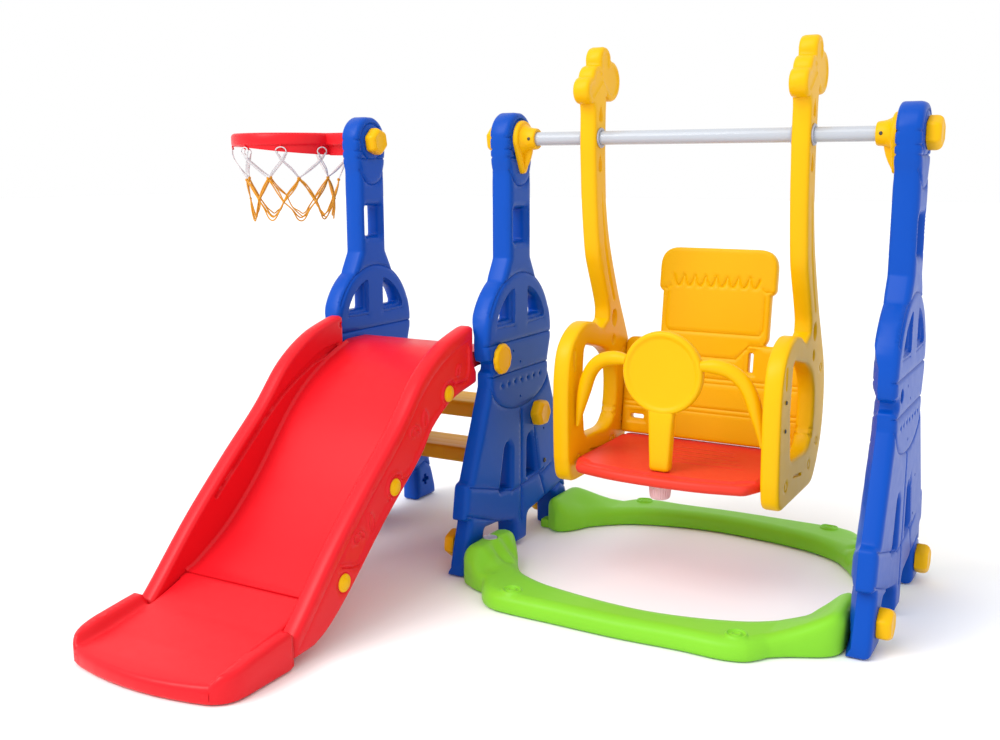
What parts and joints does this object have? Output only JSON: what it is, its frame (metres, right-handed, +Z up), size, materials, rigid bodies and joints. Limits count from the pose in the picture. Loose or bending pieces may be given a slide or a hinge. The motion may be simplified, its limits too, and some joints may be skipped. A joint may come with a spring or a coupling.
{
  "type": "toddler slide and swing playset",
  "caption": "Moulded plastic toddler playset: a slide climbed by steps between two panels, a bucket swing on a crossbar to a further panel, floor rails and a small netted hoop.",
  "frame": {"origin": "centre of the whole footprint, on the floor", "axes": "+X along the crossbar from the hoop to the swing, +Y from the slide's foot towards the steps, +Z up"},
  "size_m": [1.8994, 1.5652, 1.273],
  "materials": {
    "blue_plastic": "satin blow-moulded polyethylene, blue",
    "red_plastic": "satin blow-moulded polyethylene, red",
    "seat_red_plastic": "satin blow-moulded polyethylene, orange red",
    "yellow_plastic": "satin moulded polyethylene, yellow",
    "green_plastic": "satin blow-moulded polyethylene, light green",
    "grey_plastic": "moulded plastic, grey",
    "pink_plastic": "moulded plastic, pale pink",
    "tube_paint": "steel tube with light grey gloss paint",
    "dark_screws": "dark zinc plated steel screws",
    "net_cord": "braided cord, white above and yellow below"
  },
  "bodies": {
    "frame": {"panel_outer": "blue_plastic", "panel_middle": "blue_plastic", "panel_swing": "blue_plastic", "step_upper": "yellow_plastic", "step_lower": "yellow_plastic", "knob_step_outer": "yellow_plastic", "knob_step_middle": "yellow_plastic", "screw_step_outer": "dark_screws", "screw_step_middle": "dark_screws", "knob_head_outer": "yellow_plastic", "knob_head_middle": "yellow_plastic", "knob_head_swing": "yellow_plastic", "knob_front_foot_middle": "yellow_plastic", "knob_rear_foot_middle": "yellow_plastic", "knob_front_foot_swing": "yellow_plastic", "knob_rear_foot_swing": "yellow_plastic", "bracket_left": "yellow_plastic", "bracket_right": "yellow_plastic", "screw_bracket_left": "dark_screws", "screw_bracket_right": "dark_screws", "crossbar_tube": "tube_paint", "slide_chute": "red_plastic", "slide_landing": "red_plastic", "slide_cap_left_1": "yellow_plastic", "slide_cap_right_1": "yellow_plastic", "slide_cap_left_2": "yellow_plastic", "slide_cap_right_2": "yellow_plastic", "slide_cap_left_3": "yellow_plastic", "slide_cap_right_3": "yellow_plastic", "lock_knob_outer": "yellow_plastic", "lock_knob_middle": "yellow_plastic", "floor_rail_front": "green_plastic", "floor_rail_rear": "green_plastic", "plug_front": "grey_plastic", "plug_rear": "grey_plastic", "hoop_rim": "red_plastic", "hoop_net": "net_cord"},
    "swing": {"swing_frame_left": "yellow_plastic", "bush_left_inner": "grey_plastic", "bush_left_outer": "grey_plastic", "screw_guard_left_upper": "dark_screws", "screw_guard_left_lower": "dark_screws", "swing_frame_right": "yellow_plastic", "bush_right_inner": "grey_plastic", "bush_right_outer": "grey_plastic", "screw_guard_right_upper": "dark_screws", "screw_guard_right_lower": "dark_screws", "swing_seat": "seat_red_plastic", "swing_back": "yellow_plastic", "swing_guard": "yellow_plastic", "knob_seat": "pink_plastic"}
  },
  "joints": [
    {"name": "swing_pivot", "type": "hinge", "parent": "frame", "child": "swing", "pos_m": [0.4063, 0.34438, 1.059], "axis": [1, 0, 0], "range_deg": [-35, 35]}
  ]
}
